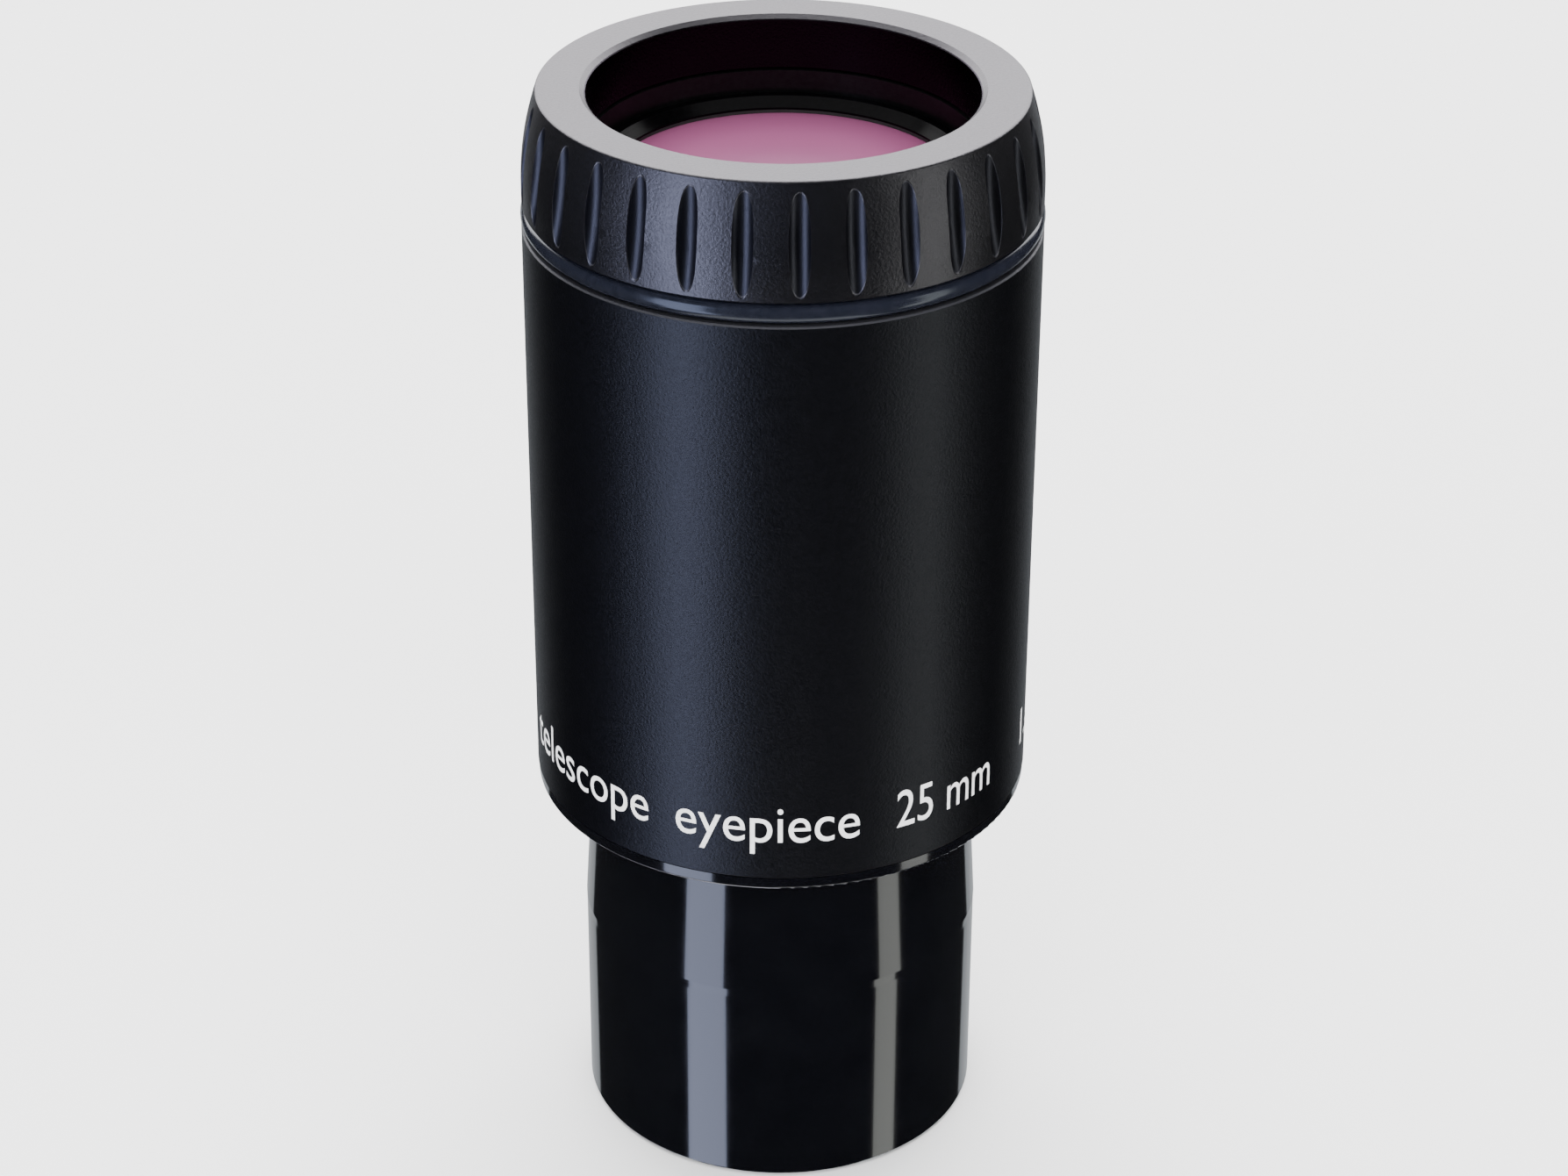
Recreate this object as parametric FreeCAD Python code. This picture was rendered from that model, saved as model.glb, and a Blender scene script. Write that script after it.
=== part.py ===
"""Telescope eyepiece with a twist-up eye guard, standing on its 1.25 inch barrel.

Frame: origin at the centre of the barrel's open end, +Z along the optical axis towards the eye, millimetres.
Every piece is turned about the Z axis, apart from the grip flutes, the spanner slots, the three helical slots
in the guide sleeve and the three guide screws that ride in them.

Bodies: the housing stands still. The bead ring only slides along Z. The eye guard (grip ring, guide sleeve and
glide ring) turns on the bead ring while it slides, and the two motions together make one screw motion.
"""
import FreeCAD, Part
import math
import os

from FreeCAD import Vector

# ---- driving dimensions, mm -------------------------------------------------------------------------------
TOTAL_HEIGHT = 87.6
BARREL_R = 15.85            # 1.25 inch push fit
BARREL_LENGTH = 30.0        # from the open end to the flange's underside
BODY_R = 19.5
BODY_TOP_Z = 77.1
BEAD_SECTION_R = 0.8        # O-ring between the body and the grip ring
TWIST_DEG = 108.0           # turn of the eye guard from down to up
RISE = 7.5                  # lift of the eye guard over that turn
SLIP = 0.05                 # radial gap of a turned piece in its seat

# barrel
FILTER_THREAD_R = 13.93     # crest radius of the M28.5 x 0.6 filter thread
FILTER_THREAD_LENGTH = 5.2
BARREL_BORE_R = 13.2
BARREL_STRAIGHT = 17.2      # length of the full-size cylinder
BARREL_TAPER_Z = 17.9       # the safety taper starts here and narrows towards the body
BARREL_NECK_R = 15.16
FLANGE_R = 19.43
FLANGE_TOP_Z = 31.0
COLLAR_R = 14.9             # threaded collar inside the body
COLLAR_TOP_Z = 37.0

# body shell
SHELL_BORE_R = 17.45
SHELL_FLOOR_TOP_Z = 35.0

# lens cell
CELL_R = 15.7
CELL_FLANGE_R = SHELL_BORE_R - SLIP
CELL_FLANGE_TOP_Z = 40.0
CELL_TOP_Z = 83.2
LENS_R = 13.3
LENS_BORE_R = LENS_R + SLIP
LOWER_BORE_R = 13.8         # thread bore below the lenses
BEZEL_SEAT_R = 14.4
BEZEL_SEAT_Z = 80.0
BEZEL_TOP_Z = 81.4
BEZEL_OPENING_R = 12.8
SEAT_RING_HEIGHT = 0.25     # soft packing between a lens and the ring that holds it

# lenses: two cemented doublets, crowns facing each other
OUTER_SURFACE_R = 120.0
CEMENTED_SURFACE_R = 24.0
INNER_SURFACE_R = 30.0
FLINT_CENTRE = 2.0
CROWN_CENTRE = 8.5
EYE_VERTEX_Z = 81.0
VERTEX_GAP = 0.5

# eye guard
GRIP_R = 19.45
CROWN_R = 22.0              # radius of the arc that the side follows up to the rim
RIM_EDGE = 0.2
FACE_R = 18.02
FACE_INNER_R = 14.98
LIP_R = 14.55
LIP_CHAMFER_Z = 0.36
LIP_BOTTOM_Z = 83.4
BEAD_GAP = 0.08
GRIP_BOTTOM_Z = BODY_TOP_Z + 2 * (BEAD_SECTION_R + BEAD_GAP)
GRIP_WIDEST_Z = 80.3
NECK_R = 17.9
NECK_BOTTOM_Z = BODY_TOP_Z + 0.2
SLEEVE_R = 17.2
SLEEVE_BORE_R = 15.9
SLEEVE_BOTTOM_Z = 47.0

# flutes
FLUTE_COUNT = 30
FLUTE_PHASE_DEG = -86.4     # one flute's place, counted from +X
FLUTE_TOP_Z = 87.0
FLUTE_BOTTOM_Z = 79.2
FLUTE_CUTTER_R = 0.8
FLUTE_DEPTH = 0.65

# helical slots and guide screws
SCREW_COUNT = 3
SCREW_R = 0.9
SCREW_Z = 62.0
SLOT_WIDTH = 2.0
SLOT_END_R = 1.12
SCREW_INNER_R = 14.2
SCREW_OUTER_R = 17.1

AXIS = Vector(0, 0, 1)
ORIGIN = Vector(0, 0, 0)


def sagitta(surface_r, height):
    """Depth of a spherical surface of radius surface_r at that distance from its vertex."""
    return surface_r - math.sqrt(surface_r ** 2 - height ** 2)


def turned(points):
    """A solid turned about Z. A point is (r, z), or (r_mid, z_mid, r_end, z_end) for an arc to its end."""
    edges = []
    last = first = Vector(points[0][0], 0, points[0][1])
    for point in list(points[1:]) + [points[0]]:
        end = Vector(point[-2], 0, point[-1])
        if len(point) == 4:
            edges.append(Part.Arc(last, Vector(point[0], 0, point[1]), end).toShape())
        elif (end - last).Length > 1e-7:
            edges.append(Part.LineSegment(last, end).toShape())
        last = end
    face = Part.Face(Part.Wire(edges))
    return face.revolve(ORIGIN, AXIS, 360)


def tube(inner_r, outer_r, low_z, high_z):
    """A plain ring."""
    return turned([(inner_r, low_z), (outer_r, low_z), (outer_r, high_z), (inner_r, high_z)])


def rod(radius, start_r, end_r, z, angle_deg):
    """A round rod that points away from the axis, from start_r to end_r."""
    a = math.radians(angle_deg)
    out = Vector(math.cos(a), math.sin(a), 0)
    return Part.makeCylinder(radius, end_r - start_r, out * start_r + Vector(0, 0, z), out)


def spanner_slots(outer_r, low_z, high_z, width=1.2, angle_deg=0.0):
    """A bar across the axis that cuts two spanner slots in a ring."""
    bar = Part.makeBox(2 * outer_r, width, high_z - low_z, Vector(-outer_r, -width / 2, low_z))
    bar.rotate(ORIGIN, AXIS, angle_deg)
    return bar


def barrel():
    edge = 0.35
    return turned([
        (FILTER_THREAD_R + edge, 0), (BARREL_R - edge, 0), (BARREL_R, edge), (BARREL_R, BARREL_STRAIGHT),
        (BARREL_R + 0.02, BARREL_TAPER_Z), (BARREL_NECK_R, BARREL_LENGTH),
        (FLANGE_R - 0.25, BARREL_LENGTH), (FLANGE_R - 0.07, BARREL_LENGTH + 0.07, FLANGE_R, BARREL_LENGTH + 0.25),
        (FLANGE_R, FLANGE_TOP_Z), (COLLAR_R, FLANGE_TOP_Z), (COLLAR_R, COLLAR_TOP_Z), (BARREL_BORE_R, COLLAR_TOP_Z), (BARREL_BORE_R, FILTER_THREAD_LENGTH),
        (FILTER_THREAD_R, FILTER_THREAD_LENGTH), (FILTER_THREAD_R, edge),
    ])


def body_shell():
    chamfer = 0.12
    return turned([
        (COLLAR_R + SLIP, FLANGE_TOP_Z), (BODY_R - chamfer, FLANGE_TOP_Z), (BODY_R, FLANGE_TOP_Z + chamfer),
        (BODY_R, BODY_TOP_Z - chamfer), (BODY_R - chamfer, BODY_TOP_Z), (SHELL_BORE_R, BODY_TOP_Z),
        (SHELL_BORE_R, SHELL_FLOOR_TOP_Z), (COLLAR_R + SLIP, SHELL_FLOOR_TOP_Z),
    ])


def screw_angles():
    return [90.0 + 360.0 * i / SCREW_COUNT for i in range(SCREW_COUNT)]


def groove(centre_r, z, section_r):
    """A half-round O-ring groove around the axis."""
    return Part.makeTorus(centre_r, section_r, Vector(0, 0, z), AXIS)


DAMPER_Z = 76.0
DAMPER_SECTION_R = 0.6
DAMPER_CENTRE_R = SLEEVE_BORE_R - SLIP - DAMPER_SECTION_R


def lens_cell():
    floor = SHELL_FLOOR_TOP_Z
    chamfer = 0.15
    shape = turned([
        (COLLAR_R + SLIP, floor), (CELL_FLANGE_R, floor), (CELL_FLANGE_R, CELL_FLANGE_TOP_Z),
        (CELL_R, CELL_FLANGE_TOP_Z), (CELL_R, CELL_TOP_Z - chamfer), (CELL_R - chamfer, CELL_TOP_Z),
        (BEZEL_SEAT_R, CELL_TOP_Z), (BEZEL_SEAT_R, BEZEL_SEAT_Z), (LENS_BORE_R, BEZEL_SEAT_Z),
        (LENS_BORE_R, FIELD_EDGE_Z), (LOWER_BORE_R, FIELD_EDGE_Z), (LOWER_BORE_R, COLLAR_TOP_Z + 1.5),
        (COLLAR_R + SLIP, COLLAR_TOP_Z + 1.5),
    ])
    for angle in screw_angles():
        shape = shape.cut(rod(SCREW_R, SCREW_INNER_R, CELL_R + 1, SCREW_Z, angle))
    return shape.cut(groove(DAMPER_CENTRE_R, DAMPER_Z, DAMPER_SECTION_R + 0.02))


# ---- optics -----------------------------------------------------------------------------------------------
OUTER_SAG = sagitta(OUTER_SURFACE_R, LENS_R)
CEMENTED_SAG = sagitta(CEMENTED_SURFACE_R, LENS_R)
INNER_SAG = sagitta(INNER_SURFACE_R, LENS_R)
EYE_INNER_VERTEX_Z = EYE_VERTEX_Z - FLINT_CENTRE - CROWN_CENTRE
FIELD_INNER_VERTEX_Z = EYE_INNER_VERTEX_Z - VERTEX_GAP
FIELD_VERTEX_Z = FIELD_INNER_VERTEX_Z - CROWN_CENTRE - FLINT_CENTRE
FIELD_EDGE_Z = FIELD_VERTEX_Z + OUTER_SAG


def surface_arc(surface_r, vertex_z, side):
    """Midpoint and vertex of the half profile of a spherical surface that bulges towards side (+1 is up)."""
    half = LENS_R / 2
    return half, vertex_z - side * sagitta(surface_r, half)


def doublet(vertex_z, side):
    """The flint and the crown of a cemented pair whose outer surface faces side (+1 is up)."""
    cemented_z = vertex_z - side * FLINT_CENTRE
    inner_z = cemented_z - side * CROWN_CENTRE
    outer_edge = vertex_z - side * OUTER_SAG
    cemented_edge = cemented_z - side * CEMENTED_SAG
    inner_edge = inner_z + side * INNER_SAG
    flint = turned([
        (0, vertex_z), surface_arc(OUTER_SURFACE_R, vertex_z, side) + (LENS_R, outer_edge),
        (LENS_R, cemented_edge), surface_arc(CEMENTED_SURFACE_R, cemented_z, side) + (0, cemented_z),
    ])
    crown = turned([
        (0, cemented_z), surface_arc(CEMENTED_SURFACE_R, cemented_z, side) + (LENS_R, cemented_edge),
        (LENS_R, inner_edge), surface_arc(INNER_SURFACE_R, inner_z, -side) + (0, inner_z),
    ])
    return flint, crown


def spacer_ring():
    low = FIELD_INNER_VERTEX_Z - INNER_SAG
    high = EYE_INNER_VERTEX_Z + INNER_SAG
    inner = LENS_R - 1.0
    # bevelled seats follow the lens surfaces, so the ring touches only at its outer edge
    drop = sagitta(INNER_SURFACE_R, LENS_R) - sagitta(INNER_SURFACE_R, inner)
    return turned([
        (inner, low + drop + 0.05), (LENS_R, low), (LENS_R, high), (inner, high - drop - 0.05),
    ])


def outer_surface_height(radius):
    """How far an outer lens surface has dropped behind its vertex at that radius."""
    return sagitta(OUTER_SURFACE_R, radius)


def eye_seat_ring():
    inner = BEZEL_OPENING_R + SLIP
    low = EYE_VERTEX_Z - outer_surface_height(inner) + 0.01
    return tube(inner, LENS_R, low, low + SEAT_RING_HEIGHT)


def eye_bezel():
    """Ring that screws down on the eye lens. Its bevelled inner edge frames the glass."""
    low = EYE_VERTEX_Z - outer_surface_height(BEZEL_OPENING_R) + SEAT_RING_HEIGHT + 0.04
    thread_r = BEZEL_SEAT_R - SLIP
    ring = turned([
        (BEZEL_OPENING_R, low), (LENS_R + SLIP, low), (LENS_R + SLIP, BEZEL_SEAT_Z + 0.06),
        (thread_r, BEZEL_SEAT_Z + 0.06), (thread_r, BEZEL_TOP_Z), (13.7, BEZEL_TOP_Z),
        (BEZEL_OPENING_R, low + 0.15),
    ])
    return ring.cut(spanner_slots(BEZEL_SEAT_R + 1, BEZEL_TOP_Z - 0.4, BEZEL_TOP_Z + 1))


def field_seat_ring():
    inner = RETAINER_OPENING_R + SLIP
    high = FIELD_VERTEX_Z + outer_surface_height(inner) - 0.01
    return tube(inner, LENS_R, high - SEAT_RING_HEIGHT, high)


RETAINER_OPENING_R = 12.2


def field_retainer():
    """Threaded ring below the field lens."""
    high = FIELD_VERTEX_Z + outer_surface_height(RETAINER_OPENING_R) - SEAT_RING_HEIGHT - 0.04
    low = high - 2.6
    ring = tube(RETAINER_OPENING_R, LOWER_BORE_R - SLIP, low, high)
    return ring.cut(spanner_slots(LOWER_BORE_R + 1, low - 1, low + 0.9))


STOP_Z = 44.0
STOP_THICK = 1.6


def field_stop():
    """Ring with a thin edge that frames the view."""
    edge_r = 10.9
    thread_r = LOWER_BORE_R - SLIP
    step_r = 12.4
    ring = turned([
        (edge_r, STOP_Z + 0.1), (step_r, STOP_Z + STOP_THICK), (thread_r, STOP_Z + STOP_THICK),
        (thread_r, STOP_Z - STOP_THICK), (step_r, STOP_Z - STOP_THICK), (step_r, STOP_Z), (edge_r, STOP_Z),
    ])
    return ring.cut(spanner_slots(LOWER_BORE_R + 1, STOP_Z - STOP_THICK - 1, STOP_Z - STOP_THICK + 0.7))


def stop_lock_ring():
    """Second ring, tightened against the field stop once the stop is focused."""
    high = STOP_Z - STOP_THICK - 0.02
    low = high - 1.4
    ring = tube(12.6, LOWER_BORE_R - SLIP, low, high)
    return ring.cut(spanner_slots(LOWER_BORE_R + 1, low - 1, low + 0.7, angle_deg=40))


def guide_screws():
    screws = []
    for angle in screw_angles():
        a = math.radians(angle)
        out = Vector(math.cos(a), math.sin(a), 0)
        screw = rod(SCREW_R, SCREW_INNER_R, SCREW_OUTER_R, SCREW_Z, angle)
        slot = Part.makeBox(0.5, 0.3, 2 * SCREW_R, Vector(SCREW_OUTER_R - 0.4, -0.15, SCREW_Z - SCREW_R))
        slot.rotate(ORIGIN, AXIS, angle)
        screws.append(screw.cut(slot))
    return Part.makeCompound(screws)


def damping_ring():
    return groove(DAMPER_CENTRE_R, DAMPER_Z, DAMPER_SECTION_R)


def bead_ring():
    return groove(NECK_R + SLIP + BEAD_SECTION_R, BODY_TOP_Z + BEAD_GAP + BEAD_SECTION_R, BEAD_SECTION_R)


# ---- eye guard --------------------------------------------------------------------------------------------
def grip_profile_r(z):
    """Radius of the grip ring's crowned side."""
    return GRIP_R - sagitta(CROWN_R, max(0.0, z - GRIP_WIDEST_Z))


def flute_cutter(angle_deg):
    """A round cutter that follows a shallow arc, so that each flute is a long oval with pointed ends."""
    low = Vector(grip_profile_r(FLUTE_BOTTOM_Z), 0, FLUTE_BOTTOM_Z)
    high = Vector(grip_profile_r(FLUTE_TOP_Z), 0, FLUTE_TOP_Z)
    along = (high - low).normalize()
    out = Vector(along.z, 0, -along.x)
    half = (high - low).Length / 2
    dip = FLUTE_DEPTH - sagitta(CROWN_R, half)
    arc_r = (half ** 2 + dip ** 2) / (2 * dip)
    centre = (low + high) * 0.5 + out * (arc_r - dip)
    cutter = Part.makeTorus(arc_r - FLUTE_CUTTER_R, FLUTE_CUTTER_R, centre, Vector(0, 1, 0))
    cutter.rotate(ORIGIN, AXIS, angle_deg)
    return cutter


def grip_ring():
    rim_z = TOTAL_HEIGHT - RIM_EDGE
    rim_r = grip_profile_r(rim_z)
    mid_z = (GRIP_WIDEST_Z + rim_z) / 2
    ring = turned([
        (SLEEVE_R + SLIP, NECK_BOTTOM_Z), (NECK_R, NECK_BOTTOM_Z), (NECK_R, GRIP_BOTTOM_Z),
        (GRIP_R - 0.12, GRIP_BOTTOM_Z), (GRIP_R, GRIP_BOTTOM_Z + 0.12), (GRIP_R, GRIP_WIDEST_Z),
        (grip_profile_r(mid_z), mid_z, rim_r, rim_z), (rim_r - 0.06, rim_z + 0.14, FACE_R, TOTAL_HEIGHT),
        (FACE_INNER_R, TOTAL_HEIGHT), (LIP_R, TOTAL_HEIGHT - LIP_CHAMFER_Z),
        (LIP_R, LIP_BOTTOM_Z), (SLEEVE_R + SLIP, LIP_BOTTOM_Z),
    ])
    for i in range(FLUTE_COUNT):
        ring = ring.cut(flute_cutter(FLUTE_PHASE_DEG + 360.0 * i / FLUTE_COUNT))
    return ring


def slot_cutters(angle_deg):
    """The cutting solids of one helical slot: a drilled hole at each end, a little wider than the slot between."""
    mid_r = (SLEEVE_R + SLEEVE_BORE_R) / 2
    half = SLOT_WIDTH / 2
    depth = 2.4
    lead = RISE * 360.0 / TWIST_DEG
    helix = Part.makeHelix(lead, RISE, mid_r)
    climb = math.atan2(lead, 2 * math.pi * mid_r)
    # the profile stands square to the helix at its start, on +X
    side = Vector(0, -math.sin(climb), math.cos(climb))
    out = Vector(1, 0, 0)
    centre = Vector(mid_r, 0, 0)
    corners = [centre + out * (i * depth / 2) + side * (j * half) for i, j in ((-1, -1), (1, -1), (1, 1), (-1, 1))]
    profile = Part.makePolygon(corners + [corners[0]])
    cutters = [
        rod(SLOT_END_R, mid_r - depth / 2, mid_r + depth / 2, 0, 0),
        rod(SLOT_END_R, mid_r - depth / 2, mid_r + depth / 2, RISE, TWIST_DEG),
        Part.Wire(helix.Edges).makePipeShell([profile], True, True),
    ]
    for cutter in cutters:
        # the screw sits at the slot's top end when the guard is down
        cutter.rotate(ORIGIN, AXIS, angle_deg - TWIST_DEG)
        cutter.translate(Vector(0, 0, SCREW_Z - RISE))
    return cutters


GLIDE_LOW_Z = SLEEVE_BOTTOM_Z + 1.0
GLIDE_HEIGHT = 2.0
GLIDE_INNER_R = SLEEVE_R - 0.5


def guide_sleeve():
    sleeve = turned([
        (SLEEVE_BORE_R, SLEEVE_BOTTOM_Z), (SLEEVE_R, SLEEVE_BOTTOM_Z), (SLEEVE_R, GLIDE_LOW_Z),
        (GLIDE_INNER_R, GLIDE_LOW_Z), (GLIDE_INNER_R, GLIDE_LOW_Z + GLIDE_HEIGHT),
        (SLEEVE_R, GLIDE_LOW_Z + GLIDE_HEIGHT), (SLEEVE_R, LIP_BOTTOM_Z), (SLEEVE_BORE_R, LIP_BOTTOM_Z),
    ])
    for angle in screw_angles():
        for cutter in slot_cutters(angle):
            sleeve = sleeve.cut(cutter)
    return sleeve


def glide_ring():
    """Slippery band in the sleeve's groove that centres it in the shell. It has a gap, so that it snaps in."""
    ring = tube(GLIDE_INNER_R + 0.02, SHELL_BORE_R - SLIP, GLIDE_LOW_Z + 0.05, GLIDE_LOW_Z + GLIDE_HEIGHT - 0.05)
    gap = Part.makeBox(4, 1.0, GLIDE_HEIGHT, Vector(GLIDE_INNER_R - 1, -0.5, GLIDE_LOW_Z))
    return ring.cut(gap)


def main():
    os.makedirs("parts", exist_ok=True)
    eye_flint, eye_crown = doublet(EYE_VERTEX_Z, 1)
    field_flint, field_crown = doublet(FIELD_VERTEX_Z, -1)
    nodes = {
        "barrel": barrel(),
        "body_shell": body_shell(),
        "lens_cell": lens_cell(),
        "eye_lens_flint": eye_flint,
        "eye_lens_crown": eye_crown,
        "spacer_ring": spacer_ring(),
        "field_lens_crown": field_crown,
        "field_lens_flint": field_flint,
        "eye_seat_ring": eye_seat_ring(),
        "eye_lens_bezel": eye_bezel(),
        "field_seat_ring": field_seat_ring(),
        "field_lens_retainer": field_retainer(),
        "field_stop": field_stop(),
        "stop_lock_ring": stop_lock_ring(),
        "guide_screws": guide_screws(),
        "damping_ring": damping_ring(),
        "bead_ring": bead_ring(),
        "grip_ring": grip_ring(),
        "guide_sleeve": guide_sleeve(),
        "glide_ring": glide_ring(),
    }
    for name, shape in nodes.items():
        print(f"{name:20s} valid {shape.isValid()} solids {len(shape.Solids)} volume {shape.Volume:.1f}")
        shape.exportStep(f"parts/{name}.step")


main()
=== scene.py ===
"""Looks of the telescope eyepiece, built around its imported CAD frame. Metres, +Z towards the eye."""
import bpy
import bmesh
import math

from mathutils import Matrix, Vector


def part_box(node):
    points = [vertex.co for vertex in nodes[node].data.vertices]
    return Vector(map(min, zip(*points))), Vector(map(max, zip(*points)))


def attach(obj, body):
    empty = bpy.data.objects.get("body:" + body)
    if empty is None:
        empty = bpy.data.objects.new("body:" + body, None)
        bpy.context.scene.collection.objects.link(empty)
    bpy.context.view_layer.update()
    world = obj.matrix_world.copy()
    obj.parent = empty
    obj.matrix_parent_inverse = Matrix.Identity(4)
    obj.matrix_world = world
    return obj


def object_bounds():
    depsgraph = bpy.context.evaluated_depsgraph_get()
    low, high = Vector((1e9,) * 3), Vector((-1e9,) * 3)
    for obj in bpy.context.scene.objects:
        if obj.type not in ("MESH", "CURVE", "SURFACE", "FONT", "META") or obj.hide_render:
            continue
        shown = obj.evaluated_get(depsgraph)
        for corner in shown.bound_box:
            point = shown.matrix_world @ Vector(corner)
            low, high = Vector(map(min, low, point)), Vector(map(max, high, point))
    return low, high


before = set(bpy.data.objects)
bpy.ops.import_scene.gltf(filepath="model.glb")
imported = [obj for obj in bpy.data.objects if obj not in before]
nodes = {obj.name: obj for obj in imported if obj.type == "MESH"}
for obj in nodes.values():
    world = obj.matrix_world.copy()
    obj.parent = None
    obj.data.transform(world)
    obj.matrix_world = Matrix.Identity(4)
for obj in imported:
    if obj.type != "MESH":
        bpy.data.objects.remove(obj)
cad_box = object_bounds()
MM = 0.001
SHELL_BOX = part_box("body_shell")
SHELL_R = 0.5 * (SHELL_BOX[1][0] - SHELL_BOX[0][0])
SHELL_TOP_Z = SHELL_BOX[1][2]

# the crowned side of the grip ring, its cut flutes and its inside wall
GRIP_R = 19.45 * MM
GRIP_CROWN_R = 22.0 * MM
GRIP_WIDEST_Z = 80.3 * MM
FLUTE_LOW_Z = 79.0 * MM
FLUTE_HIGH_Z = 87.1 * MM
FLUTE_LEAST_R = 17.0 * MM
INSIDE_WALL_R = 14.6 * MM

# radii of a lens's painted light and shade: its centre, its broad middle and its rim, painted darkest
LENS_CENTRE_R = 4.5 * MM
LENS_MIDDLE_R = (8.8 * MM, 11.5 * MM)
LENS_RIM_R = 13.1 * MM

# where a painted reflection of the floor lies: the low edge of the barrel's flange
PAINTED_REFLECTION_R = 19.2 * MM
PAINTED_REFLECTION_Z = (29.9 * MM, 30.13 * MM)

FINE_GRAIN = 4600
BUMP_GRAIN = 0.00004
BUMP_FLECK = 0.00003


# ---- material helpers ----
class Shader:
    """A Principled material with a few helpers for its nodes."""

    def __init__(self, name, **sockets):
        self.mat = bpy.data.materials.new(name)
        self.mat.use_nodes = True
        self.tree = self.mat.node_tree
        self.bsdf = self.tree.nodes["Principled BSDF"]
        for key, value in sockets.items():
            self.bsdf.inputs[key.replace("_", " ")].default_value = value
        self.place = self.tree.nodes.new("ShaderNodeTexCoord").outputs["Object"]

    def link(self, a, b):
        self.tree.links.new(a, b)

    def stretched(self, scale):
        """The place on the object, stretched by scale along each axis."""
        node = self.tree.nodes.new("ShaderNodeMapping")
        node.inputs["Scale"].default_value = scale
        self.link(self.place, node.inputs["Vector"])
        return node.outputs["Vector"]

    def noise(self, scale, detail=2.0, place=None, rough=0.5):
        node = self.tree.nodes.new("ShaderNodeTexNoise")
        node.inputs["Scale"].default_value = scale
        node.inputs["Detail"].default_value = detail
        node.inputs["Roughness"].default_value = rough
        self.link(place or self.place, node.inputs["Vector"])
        return node.outputs["Fac"]

    def ramp(self, fac, stops):
        """stops are (position, grey or (r, g, b))."""
        node = self.tree.nodes.new("ShaderNodeValToRGB")
        elements = node.color_ramp.elements
        while len(elements) < len(stops):
            elements.new(0.5)
        for element, (place, value) in zip(elements, stops):
            element.position = place
            rgb = value if isinstance(value, tuple) else (value, value, value)
            element.color = rgb + (1.0,)
        self.link(fac, node.inputs["Fac"])
        return node.outputs["Color"]

    def spread(self, fac, low, high):
        """Maps 0..1 to low..high."""
        node = self.tree.nodes.new("ShaderNodeMapRange")
        node.inputs["To Min"].default_value = low
        node.inputs["To Max"].default_value = high
        self.link(fac, node.inputs["Value"])
        return node.outputs["Result"]

    def colour(self, socket):
        self.link(socket, self.bsdf.inputs["Base Color"])

    def roughness(self, socket):
        self.link(socket, self.bsdf.inputs["Roughness"])

    def bump(self, height, strength, distance):
        node = self.tree.nodes.new("ShaderNodeBump")
        node.inputs["Strength"].default_value = strength
        node.inputs["Distance"].default_value = distance
        self.link(height, node.inputs["Height"])
        self.link(node.outputs["Normal"], self.bsdf.inputs["Normal"])

    def split_place(self):
        split = self.tree.nodes.new("ShaderNodeSeparateXYZ")
        self.link(self.place, split.inputs["Vector"])
        return split

    def around(self):
        """Distance from the optical axis, in metres."""
        split = self.split_place()
        flat = self.tree.nodes.new("ShaderNodeCombineXYZ")
        self.link(split.outputs["X"], flat.inputs["X"])
        self.link(split.outputs["Y"], flat.inputs["Y"])
        length = self.tree.nodes.new("ShaderNodeVectorMath")
        length.operation = "LENGTH"
        self.link(flat.outputs["Vector"], length.inputs[0])
        return length.outputs["Value"]

    def height(self):
        """Height above the barrel's open end, in metres."""
        return self.split_place().outputs["Z"]

    def maths(self, operation, a, b=0.0):
        """a and b are sockets or numbers."""
        node = self.tree.nodes.new("ShaderNodeMath")
        node.operation = operation
        for socket, value in zip(node.inputs, (a, b)):
            if isinstance(value, (int, float)):
                socket.default_value = value
            else:
                self.link(value, socket)
        return node.outputs["Value"]

    def step(self, value, low, high):
        """0 below low, 1 above high, smooth between."""
        node = self.tree.nodes.new("ShaderNodeMapRange")
        node.interpolation_type = "SMOOTHSTEP"
        node.inputs["From Min"].default_value = low
        node.inputs["From Max"].default_value = high
        self.link(value, node.inputs["Value"])
        return node.outputs["Result"]

    def inverse(self, value):
        return self.maths("SUBTRACT", 1.0, value)

    def blend_colours(self, fac, low, high):
        """low where fac is 0 and high where it is 1; both are sockets or colours."""
        node = self.tree.nodes.new("ShaderNodeMix")
        node.data_type = "RGBA"
        self.link(fac, node.inputs[0])
        for socket, value in ((node.inputs[6], low), (node.inputs[7], high)):
            if isinstance(value, tuple):
                socket.default_value = value + (1.0,)
            else:
                self.link(value, socket)
        return node.outputs[2]


def shaded(base, share):
    return tuple(share * c for c in base)


def blasted_colour(s, fine, base):
    """The mottled colour of a bead-blasted, anodised surface."""
    return s.ramp(fine, [(0.3, shaded(base, 0.45)), (0.72, shaded(base, 1.7))])


def satin_black(name, base, rough, grain):
    """Bead-blasted, anodised aluminium: a fine grain that sparkles softly, with a painted highlight on the
    top edge.
    """
    s = Shader(name, Metallic=0.0, IOR=1.6, Specular_IOR_Level=0.55, Specular_Tint=(0.88, 0.9, 1.0, 1.0))
    fine = s.noise(FINE_GRAIN, 3.0, rough=0.6)
    # painted highlight: a lighter colour on the top chamfer stands in for light caught on the body's top
    # edge
    painted_highlight_edge = s.step(s.height(), SHELL_TOP_Z - 0.13 * MM, SHELL_TOP_Z - 0.11 * MM)
    s.colour(s.blend_colours(painted_highlight_edge, blasted_colour(s, fine, base), (0.024, 0.024, 0.028)))
    s.roughness(s.spread(fine, rough - 0.11, rough + 0.09))
    s.bump(fine, grain, BUMP_GRAIN)
    return s.mat


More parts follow.
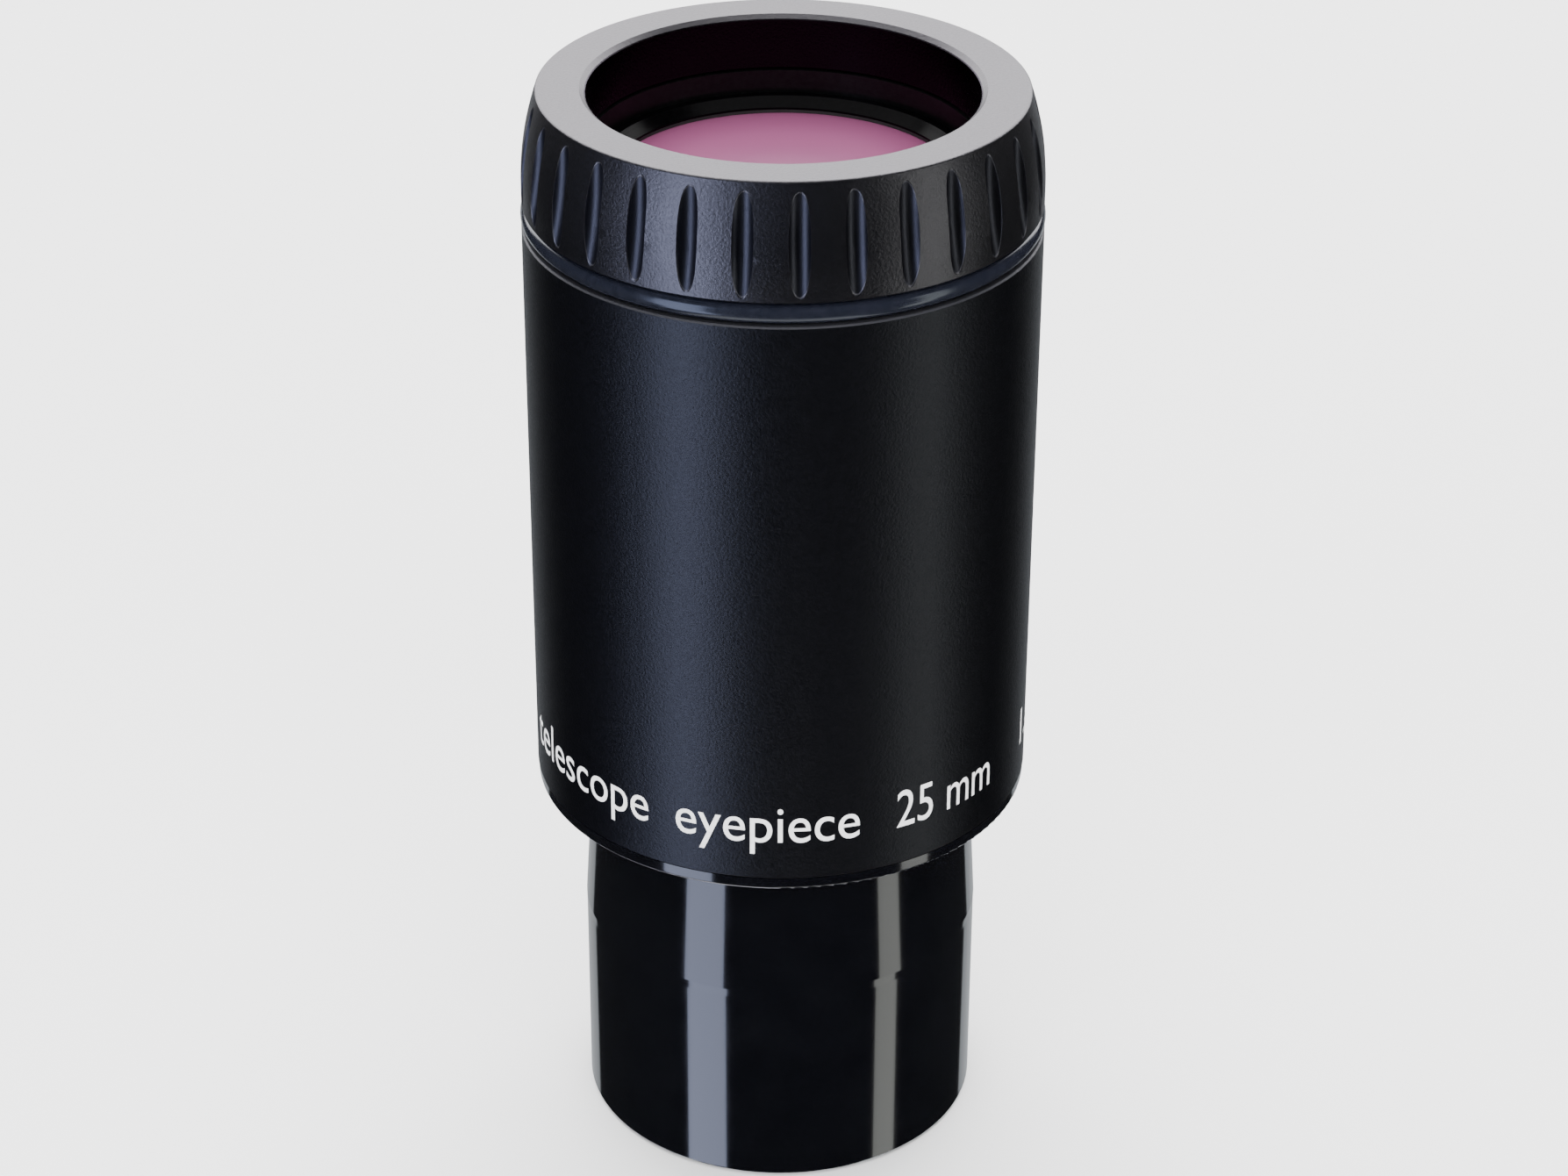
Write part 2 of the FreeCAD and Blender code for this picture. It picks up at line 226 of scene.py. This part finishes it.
def flute_mask(s, out):
    """1 where a flute is cut below the crowned side of the grip ring, 0 elsewhere."""
    up = s.maths("MAXIMUM", s.maths("SUBTRACT", s.height(), GRIP_WIDEST_Z), 0.0)
    chord = s.maths("SQRT", s.maths("SUBTRACT", GRIP_CROWN_R ** 2, s.maths("MULTIPLY", up, up)))
    side_r = s.maths("ADD", chord, GRIP_R - GRIP_CROWN_R)
    below_side = s.step(s.maths("SUBTRACT", side_r, out), 0.02 * MM, 0.06 * MM)
    above_low_end = s.step(s.height(), FLUTE_LOW_Z, FLUTE_LOW_Z + 0.2 * MM)
    above_high_end = s.step(s.height(), FLUTE_HIGH_Z, FLUTE_HIGH_Z + 0.2 * MM)
    banded = s.maths("MULTIPLY", above_low_end, s.inverse(above_high_end))
    outer_part = s.step(out, FLUTE_LEAST_R, FLUTE_LEAST_R + 0.2 * MM)
    return s.maths("MULTIPLY", s.maths("MULTIPLY", below_side, banded), outer_part)


def grip_black(name, base, rough, grain):
    """The grip ring: blasted like the body, with brighter cut flutes and a dead black inside wall."""
    s = Shader(name, IOR=1.9, Specular_IOR_Level=0.85, Specular_Tint=(0.96, 0.93, 1.0, 1.0))
    fine = s.noise(FINE_GRAIN, 3.0, rough=0.6)
    out = s.around()
    flute = flute_mask(s, out)
    inside = s.inverse(s.step(out, INSIDE_WALL_R, INSIDE_WALL_R + 0.06 * MM))
    cut = s.blend_colours(flute, blasted_colour(s, fine, base), (0.115, 0.115, 0.138))
    s.colour(s.blend_colours(inside, cut, (0.013, 0.011, 0.014)))
    s.link(s.maths("MAXIMUM", flute, inside), s.bsdf.inputs["Metallic"])
    blasted_rough = s.spread(fine, rough - 0.11, rough + 0.09)
    fluted_rough = s.maths("ADD", blasted_rough, s.maths("MULTIPLY", flute, 0.12))
    s.roughness(s.maths("SUBTRACT", fluted_rough, s.maths("MULTIPLY", inside, 0.15)))
    s.bump(s.maths("MULTIPLY", fine, s.inverse(s.maths("MULTIPLY", flute, 0.6))), grain, BUMP_GRAIN)
    return s.mat


def gloss_black(name):
    """Polished black anodising with barely visible turning lines and a painted reflection along the flange's
    low edge.
    """
    s = Shader(name, Metallic=0.0, IOR=1.58, Specular_IOR_Level=0.6, Coat_Weight=0.5, Coat_Roughness=0.03)
    lines = s.noise(1, 2.0, place=s.stretched((120, 120, 9000)))
    cloud = s.noise(260, 3.0)
    polish = s.ramp(cloud, [(0.3, (0.0012, 0.0013, 0.0022)), (0.75, (0.0022, 0.0024, 0.0036))])
    # painted reflection: a lighter band on the flange's low edge stands in for the white floor mirrored
    # there
    outside = s.step(s.around(), PAINTED_REFLECTION_R, PAINTED_REFLECTION_R + 0.04 * MM)
    above = s.step(s.height(), PAINTED_REFLECTION_Z[0], PAINTED_REFLECTION_Z[0] + 0.05 * MM)
    below = s.inverse(s.step(s.height(), PAINTED_REFLECTION_Z[1], PAINTED_REFLECTION_Z[1] + 0.04 * MM))
    painted_light_rim = s.maths("MULTIPLY", outside, s.maths("MULTIPLY", above, below))
    s.colour(s.blend_colours(painted_light_rim, polish, (0.12, 0.12, 0.14)))
    s.roughness(s.spread(cloud, 0.07, 0.12))
    s.bump(lines, 0.22, 0.00001)
    return s.mat


def turned_black(name, base, rough, lines=1.0, shine=0.2):
    """Black anodised metal with turning lines."""
    s = Shader(name, Metallic=0.0, IOR=1.5, Specular_IOR_Level=shine)
    ring = s.noise(1, 2.0, place=s.stretched((60, 60, 7000)))
    fleck = s.noise(2600, 2.0)
    s.colour(s.ramp(fleck, [(0.3, shaded(base, 0.6)), (0.75, shaded(base, 1.4))]))
    s.roughness(s.spread(ring, rough - 0.05, rough + 0.06))
    s.bump(ring, 0.25 * lines, BUMP_FLECK)
    return s.mat


def rubber(name):
    """Glossy black rubber, a little blue."""
    s = Shader(name, IOR=1.52, Specular_IOR_Level=0.6, Specular_Tint=(0.8, 0.88, 1.0, 1.0),
               Coat_Weight=0.35, Coat_Roughness=0.12)
    skin = s.noise(1700, 3.0)
    s.colour(s.ramp(skin, [(0.3, (0.006, 0.007, 0.012)), (0.8, (0.011, 0.012, 0.019))]))
    s.roughness(s.spread(skin, 0.16, 0.26))
    s.bump(skin, 0.1, BUMP_FLECK)
    return s.mat


def eye_glass(name, painted_light_rim, body, centre):
    """Coated glass seen from outside: a tinted depth under a sharp polished surface, with painted light and
    shade that darken it towards the rim.
    """
    s = Shader(name, IOR=1.52, Specular_IOR_Level=0.3, Coat_Weight=0.35, Coat_Roughness=0.0, Roughness=0.32)
    dust = s.noise(5000, 2.0)
    # painted light and shade: the colour changes with distance from the axis, darkest at the rim
    painted_lens_tones = [(0.0, centre), (LENS_CENTRE_R, centre)]
    painted_lens_tones += [(LENS_MIDDLE_R[0], body), (LENS_MIDDLE_R[1], body), (LENS_RIM_R, painted_light_rim)]
    painted_lens_tone = s.ramp(s.around(), painted_lens_tones)
    dusted = s.tree.nodes.new("ShaderNodeMix")
    dusted.data_type = "RGBA"
    dusted.blend_type = "MULTIPLY"
    dusted.inputs[0].default_value = 0.12
    s.link(painted_lens_tone, dusted.inputs[6])
    s.link(s.ramp(dust, [(0.2, 0.8), (0.8, 1.0)]), dusted.inputs[7])
    s.colour(dusted.outputs[2])
    return s.mat


def plain_plastic(name, base, rough):
    s = Shader(name, IOR=1.46)
    fleck = s.noise(900, 3.0)
    s.colour(s.ramp(fleck, [(0.3, shaded(base, 0.85)), (0.8, shaded(base, 1.1))]))
    s.roughness(s.spread(fleck, rough - 0.05, rough + 0.08))
    s.bump(fleck, 0.1, BUMP_FLECK)
    return s.mat


def steel(name):
    s = Shader(name, Metallic=1.0)
    turned = s.noise(3000, 2.0)
    s.colour(s.ramp(turned, [(0.3, (0.4, 0.4, 0.41)), (0.8, (0.62, 0.62, 0.63))]))
    s.roughness(s.spread(turned, 0.2, 0.34))
    return s.mat


def white_ink(name):
    s = Shader(name, IOR=1.45)
    print_grain = s.noise(3800, 2.0)
    s.colour(s.ramp(print_grain, [(0.25, (0.78, 0.78, 0.78)), (0.6, (0.9, 0.9, 0.9))]))
    s.roughness(s.spread(print_grain, 0.42, 0.55))
    return s.mat


housing_satin = satin_black("housing_satin", (0.0011, 0.0011, 0.0019), 0.42, 0.75)
grip_satin = grip_black("grip_satin", (0.0012, 0.0012, 0.0018), 0.4, 0.75)
barrel_gloss = gloss_black("barrel_gloss")
cell_black = turned_black("cell_black", (0.002, 0.002, 0.0022), 0.3)
bezel_black = turned_black("bezel_black", (0.0008, 0.0007, 0.0009), 0.16, 0.3, 0.06)
sleeve_black = turned_black("sleeve_black", (0.008, 0.008, 0.009), 0.3)
bead_rubber = rubber("bead_rubber")
# the rim, middle and centre colours of each lens hold painted shade and painted light
magenta_glass = eye_glass("magenta_glass", (0.09, 0.018, 0.054), (0.19, 0.054, 0.118), (0.168, 0.044, 0.104))
field_glass = eye_glass("field_glass", (0.03, 0.012, 0.035), (0.12, 0.04, 0.13), (0.26, 0.12, 0.27))
packing = plain_plastic("packing", (0.02, 0.02, 0.02), 0.6)
acetal = plain_plastic("acetal", (0.6, 0.58, 0.52), 0.4)
screw_steel = steel("screw_steel")
print_white = white_ink("print_white")

LOOKS = {
    "barrel": barrel_gloss, "body_shell": housing_satin, "grip_ring": grip_satin, "bead_ring": bead_rubber,
    "lens_cell": cell_black, "spacer_ring": cell_black, "field_lens_retainer": cell_black,
    "field_stop": cell_black, "stop_lock_ring": cell_black, "eye_lens_bezel": bezel_black,
    "eye_lens_flint": magenta_glass, "eye_lens_crown": field_glass, "field_lens_crown": field_glass,
    "field_lens_flint": field_glass, "eye_seat_ring": packing, "field_seat_ring": packing,
    "guide_sleeve": sleeve_black, "glide_ring": acetal, "guide_screws": screw_steel,
    "damping_ring": bead_rubber,
}
for name, look in LOOKS.items():
    node = nodes[name]
    node.data.materials.clear()
    node.data.materials.append(look)


# ---- white print round the foot of the body ----
PRINT_R = SHELL_R + 0.012 * MM
PRINT_BASE_Z = 34.3 * MM
CAP_HEIGHT = 3.2 * MM
FONT_CAP_SHARE = 0.685
PRINT_SLICE = 0.4 * MM


def printed(words, name, start_deg, end_deg):
    """Words wrapped on the body. Angles are counted from the front towards +X."""
    curve = bpy.data.curves.new(name + "_curve", "FONT")
    curve.body = words
    curve.size = 1.0
    curve.resolution_u = 6
    flat = bpy.data.objects.new(name + "_flat", curve)
    bpy.context.scene.collection.objects.link(flat)
    bpy.context.view_layer.update()
    mesh = bpy.data.meshes.new_from_object(flat.evaluated_get(bpy.context.evaluated_depsgraph_get()))
    bpy.data.objects.remove(flat)
    bm = bmesh.new()
    bm.from_mesh(mesh)
    low_x = min(v.co.x for v in bm.verts)
    high_x = max(v.co.x for v in bm.verts)
    width = math.radians(end_deg - start_deg) * PRINT_R
    for v in bm.verts:
        v.co.x = (v.co.x - low_x) / (high_x - low_x) * width
        v.co.y = v.co.y / FONT_CAP_SHARE * CAP_HEIGHT
    cuts = int(width / PRINT_SLICE)
    for i in range(1, cuts):
        bmesh.ops.bisect_plane(bm, geom=bm.verts[:] + bm.edges[:] + bm.faces[:],
                               plane_co=(i * width / cuts, 0, 0), plane_no=(1, 0, 0))
    for v in bm.verts:
        turn = math.radians(start_deg) + v.co.x / PRINT_R
        v.co = Vector((PRINT_R * math.sin(turn), -PRINT_R * math.cos(turn), PRINT_BASE_Z + v.co.y))
    bm.to_mesh(mesh)
    bm.free()
    mesh.materials.clear()
    mesh.materials.append(print_white)
    piece = bpy.data.objects.new(name, mesh)
    bpy.context.scene.collection.objects.link(piece)
    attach(piece, "housing")


printed("telescope", "print_telescope", -77, -31)
printed("eyepiece", "print_eyepiece", -24, 18)
printed("25 mm", "print_focal_length", 27, 56)
printed("1.25 in", "print_barrel_size", 75, 108)


# ---- stage, light and camera ----
LIGHT_CENTRE_Z = 0.045
FLOOR_GAP = 0.00005


def stage_material(name, grey):
    s = Shader(name, Roughness=0.6)
    mottled = s.noise(6, 2.0)
    s.colour(s.ramp(mottled, [(0.3, grey - 0.01), (0.7, grey)]))
    return s.mat


def plain_floor():
    mesh = bpy.data.meshes.new("floor")
    bm = bmesh.new()
    bmesh.ops.create_grid(bm, x_segments=8, y_segments=8, size=9.0)
    bm.to_mesh(mesh)
    bm.free()
    floor = bpy.data.objects.new("floor", mesh)
    floor.location.z = cad_box[0][2] - FLOOR_GAP
    mesh.materials.append(stage_material("floor_white", 0.93))
    bpy.context.scene.collection.objects.link(floor)
    floor.visible_glossy = False


def softbox(name, azimuth, elevation, distance, size, power, colour=(1, 1, 1), glossy=True,
            shape="RECTANGLE"):
    """An area light. Azimuth 0 is the camera's side and grows towards +X."""
    a, e = math.radians(azimuth), math.radians(elevation)
    place = Vector((math.sin(a) * math.cos(e), -math.cos(a) * math.cos(e), math.sin(e))) * distance
    light = bpy.data.lights.new(name, "AREA")
    light.shape = shape
    light.size, light.size_y = size
    light.energy = power
    light.color = colour
    lamp = bpy.data.objects.new(name, light)
    lamp.location = place + Vector((0, 0, LIGHT_CENTRE_Z))
    lamp.rotation_euler = (-place).to_track_quat("-Z", "Y").to_euler()
    lamp.visible_camera = False
    lamp.visible_glossy = glossy
    bpy.context.scene.collection.objects.link(lamp)


plain_floor()
softbox("strip_left", -44, -6, 1.0, (0.4, 1.5), 6.6, (0.66, 0.73, 1.0))
softbox("strip_right", 66, -6, 1.0, (0.24, 1.5), 1.85, (0.97, 1.0, 0.95))
softbox("wall_behind", 180, 30, 1.2, (2.4, 1.1), 30.0, (1.0, 0.99, 1.0))
softbox("rim_behind", 180, -28, 1.3, (1.5, 0.9), 2.6, (0.9, 0.95, 1.0))
softbox("glow_below", 0, -75, 1.0, (0.9, 0.9), 2.6)
softbox("overhead", 200, 74, 1.0, (1.2, 1.2), 5.0, shape="ELLIPSE")
# these two stay out of reflections and brighten what is matt, above all the floor and the white print
softbox("floor_fill", 180, 70, 3.0, (5.0, 5.0), 400.0, glossy=False)
softbox("print_fill", 0, 40, 1.2, (1.6, 0.8), 26.0, glossy=False)

world = bpy.data.worlds.new("studio")
world.use_nodes = True
world.node_tree.nodes["Background"].inputs["Color"].default_value = (0.9, 0.93, 1.0, 1.0)
world.node_tree.nodes["Background"].inputs["Strength"].default_value = 0.025
bpy.context.scene.world = world

camera_data = bpy.data.cameras.new("camera")
camera_data.sensor_width = 36.0
camera_data.lens = 86.36
camera_data.clip_start = 0.01
camera = bpy.data.objects.new("camera", camera_data)
eye = Vector((0.2, -258.9, 188.8)) * MM
target = Vector((0.2, 0.0, 45.5)) * MM
turn = (target - eye).to_track_quat("-Z", "Y").to_matrix().to_4x4()
camera.matrix_world = Matrix.Translation(eye) @ turn @ Matrix.Rotation(math.radians(0.26), 4, "Z")
bpy.context.scene.collection.objects.link(camera)
bpy.context.scene.camera = camera
